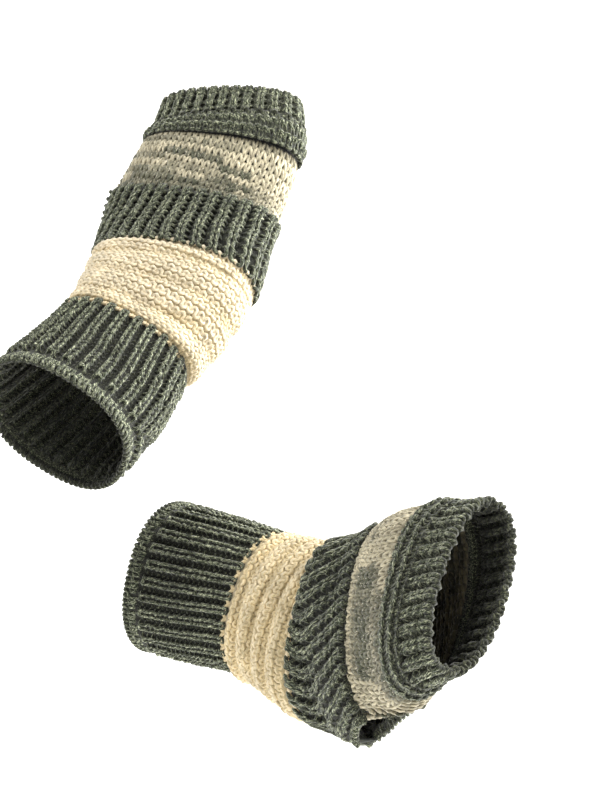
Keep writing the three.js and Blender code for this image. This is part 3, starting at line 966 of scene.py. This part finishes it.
class GLOVES_PG_stage(bpy.types.PropertyGroup):
    floor_colour: shade("Floor", "Colour of the floor and backdrop", (0.93, 0.93, 0.92))
    light_power: amount("Light Power", "Factor on the power of every light", 1.0)
    sky_strength: amount("Sky", "Strength of the even light all round", 0.34)
    camera_distance: amount("Camera Distance", "From the camera to the middle", 0.75, unit="LENGTH")


class GLOVES_OT_cuffs(bpy.types.Operator):
    """Knit the long ribbed cuffs"""
    bl_idname = "gloves.cuffs"
    bl_label = "Knit Cuffs"

    def execute(self, context):
        return make_band("cuff")


class GLOVES_OT_cream_bands(bpy.types.Operator):
    """Knit the cream bands of purl bumps in soft rolls"""
    bl_idname = "gloves.cream_bands"
    bl_label = "Knit Cream Bands"

    def execute(self, context):
        return make_band("welt_band")


class GLOVES_OT_rib_bands(bpy.types.Operator):
    """Knit the green ribbed bands over the heel of the hand"""
    bl_idname = "gloves.rib_bands"
    bl_label = "Knit Ribbed Bands"

    def execute(self, context):
        return make_band("rib_band")


class GLOVES_OT_striped_bands(bpy.types.Operator):
    """Knit the plain bands of streaked yarn"""
    bl_idname = "gloves.striped_bands"
    bl_label = "Knit Striped Bands"

    def execute(self, context):
        return make_band("marl_band")


class GLOVES_OT_finger_bands(bpy.types.Operator):
    """Knit the thick rolls and ribbed finger edges"""
    bl_idname = "gloves.finger_bands"
    bl_label = "Knit Finger Bands"

    def execute(self, context):
        return make_band("finger_band")


# The studio, in metres: the floor, the sweep up behind it, and what the camera takes in.
FLOOR = -0.32
FLOOR_FRONT = -2.5
SWEEP_START = 0.9
SWEEP_RADIUS = 0.7
SWEEP_STEPS = 24
BACKDROP_TOP = 3.0
BACKDROP_SIDES = (-3.0, 3.2)
CAMERA_AIM = (0.081, 0.032, -0.025)
VIEW_HEIGHT = 0.381
SENSOR = 36.0
WARM = (1.0, 0.985, 0.96)
WHITE = (1.0, 1.0, 1.0)
MIDDLE = (0.08, -0.03, -0.03)

# The lights, with their power in watts.
LIGHT_COLUMNS = ("name", "place", "target", "size", "power", "colour")
LIGHTS = (
    ("Key", (0.85, -0.30, 0.62), MIDDLE, 0.3, 12.5, WARM),
    ("Fill", (-0.16, -0.36, 0.60), (0.02, 0.0, 0.06), 0.2, 3.6, WARM),
    ("Rim Right", (0.85, 0.20, 0.20), MIDDLE, 0.6, 15.0, WHITE),
    ("Rim Left", (-0.80, 0.35, 0.05), MIDDLE, 0.8, 3.0, WHITE),
    ("Bounce", (-0.25, -0.30, -0.24), (0.04, 0.0, -0.12), 0.12, 0.27, WHITE),
    ("Backdrop Right", (1.1, 0.6, 0.6), (0.3, 1.6, 0.1), 1.0, 20.0, WHITE),
    ("Backdrop Left", (-0.9, 0.6, 0.6), (-0.2, 1.6, 0.1), 1.0, 20.0, WHITE),
)


def add_light(name, place, target, size, power, colour):
    light = bpy.data.lights.new(name, "AREA")
    light.shape = "DISK"
    light.size = size
    light.energy = power * bpy.context.scene.glove_stage.light_power
    light.color = colour
    lamp = add_object(name, light)
    lamp.location = place
    lamp.rotation_euler = (Vector(target) - lamp.location).to_track_quat("-Z", "Y").to_euler()


def backdrop(floor_colour):
    """The pale floor, which sweeps up into a backdrop."""
    rows = [(FLOOR_FRONT, FLOOR)]
    for step in range(SWEEP_STEPS + 1):
        bend = math.radians(90 * step / SWEEP_STEPS)
        rows.append((SWEEP_START + SWEEP_RADIUS * math.sin(bend),
                     FLOOR + SWEEP_RADIUS * (1 - math.cos(bend))))
    rows.append((SWEEP_START + SWEEP_RADIUS, BACKDROP_TOP))
    mesh = bpy.data.meshes.new("backdrop")
    mesh.from_pydata([(x, y, z) for y, z in rows for x in BACKDROP_SIDES], [],
                     [(2 * i, 2 * i + 1, 2 * i + 3, 2 * i + 2) for i in range(len(rows) - 1)])
    mesh.shade_smooth()
    material, tree, surface = new_material("pale_backdrop", Roughness=0.9)
    coords = add_node(tree, "ShaderNodeTexCoord")["Object"]
    clouds = add_node(tree, "ShaderNodeTexNoise", {"Vector": coords, "Scale": 3.0})["Fac"]
    pale = tuple(floor_colour)
    feed(tree, surface["Base Color"], mix_colour(tree, clouds, pale, tuple(c * 0.99 for c in pale)))
    return finish_mesh("backdrop", mesh, material)


class GLOVES_OT_camera(bpy.types.Operator):
    """Set the camera level, in front of the backs of the hands"""
    bl_idname = "gloves.camera"
    bl_label = "Set Camera"

    def execute(self, context):
        distance = context.scene.glove_stage.camera_distance
        camera = bpy.data.cameras.new("Camera")
        camera.sensor_width = SENSOR
        camera.lens = SENSOR * distance / VIEW_HEIGHT
        holder = add_object("Camera", camera)
        x, y, z = CAMERA_AIM
        holder.location = (x, y - distance, z)
        holder.rotation_euler = (math.pi / 2, 0, 0)
        context.scene.camera = holder
        return {"FINISHED"}


class GLOVES_OT_stage(bpy.types.Operator):
    """Set the pale floor and backdrop, and the soft studio light"""
    bl_idname = "gloves.stage"
    bl_label = "Set Stage"

    def execute(self, context):
        stage = context.scene.glove_stage
        backdrop(stage.floor_colour)
        world = bpy.data.worlds.new("Studio")
        world.use_nodes = True
        sky = world.node_tree.nodes["Background"].inputs
        sky["Color"].default_value = (1.0, 1.0, 1.0, 1.0)
        sky["Strength"].default_value = stage.sky_strength
        context.scene.world = world
        for line in LIGHTS:
            add_light(**dict(zip(LIGHT_COLUMNS, line)))
        context.scene.view_settings.view_transform = "Standard"
        context.scene.view_settings.look = "None"
        return {"FINISHED"}


OPERATORS = (GLOVES_OT_camera, GLOVES_OT_cuffs, GLOVES_OT_cream_bands, GLOVES_OT_rib_bands,
             GLOVES_OT_striped_bands, GLOVES_OT_finger_bands, GLOVES_OT_stage)


class GLOVES_PT_panel(bpy.types.Panel):
    """Lists the pieces of the pair of gloves"""
    bl_idname = "GLOVES_PT_panel"
    bl_label = "Gloves"
    bl_space_type = "VIEW_3D"
    bl_region_type = "UI"
    bl_category = "Gloves"

    def draw(self, context):
        for operator in OPERATORS:
            self.layout.operator(operator.bl_idname)


SETTINGS = {"glove_knit": GLOVES_PG_knit, "glove_colours": GLOVES_PG_colours,
            "glove_stage": GLOVES_PG_stage}
CLASSES = (*SETTINGS.values(), *OPERATORS, GLOVES_PT_panel)


def register():
    for item in CLASSES:
        bpy.utils.register_class(item)
    for name, group in SETTINGS.items():
        setattr(bpy.types.Scene, name, PointerProperty(type=group))


def unregister():
    for name in SETTINGS:
        delattr(bpy.types.Scene, name)
    for item in reversed(CLASSES):
        bpy.utils.unregister_class(item)


def main():
    register()
    bpy.ops.gloves.camera()
    bpy.ops.gloves.cuffs()
    bpy.ops.gloves.cream_bands()
    bpy.ops.gloves.rib_bands()
    bpy.ops.gloves.striped_bands()
    bpy.ops.gloves.finger_bands()
    bpy.ops.gloves.stage()


if __name__ == "__main__":
    main()
